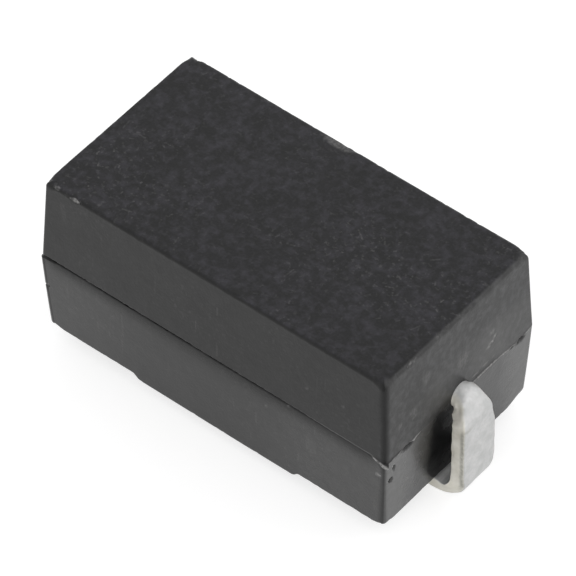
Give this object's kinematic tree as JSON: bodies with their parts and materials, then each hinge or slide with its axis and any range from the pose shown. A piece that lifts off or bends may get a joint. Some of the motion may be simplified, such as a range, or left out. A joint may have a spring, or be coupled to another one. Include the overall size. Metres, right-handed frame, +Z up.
{
  "type": "surface-mount wirewound power resistor",
  "caption": "Black moulded block resistor for surface mounting, with flat tinned leads folded under both ends and a wire-wound ceramic rod inside.",
  "frame": {"origin": "middle of the footprint, on the plane of the two solder faces", "axes": "+X along the body towards the right-hand lead, +Z up from the board towards the flat top face"},
  "size_m": [0.0198, 0.0094, 0.0092],
  "materials": {
    "epoxy": "moulded epoxy with a faint mineral mottle and scuffed edges",
    "ceramic": "fired, unglazed",
    "resistance_alloy": "drawn nickel-chrome wire",
    "cap_steel": "plated pressed steel",
    "tinned_lead": "dull cloudy tin over copper"
  },
  "bodies": {
    "root": {"moulded_body": "epoxy", "ceramic_core": "ceramic", "resistance_wire": "resistance_alloy", "end_cap_left": "cap_steel", "end_cap_right": "cap_steel", "lead_left": "tinned_lead", "lead_right": "tinned_lead"}
  },
  "joints": []
}
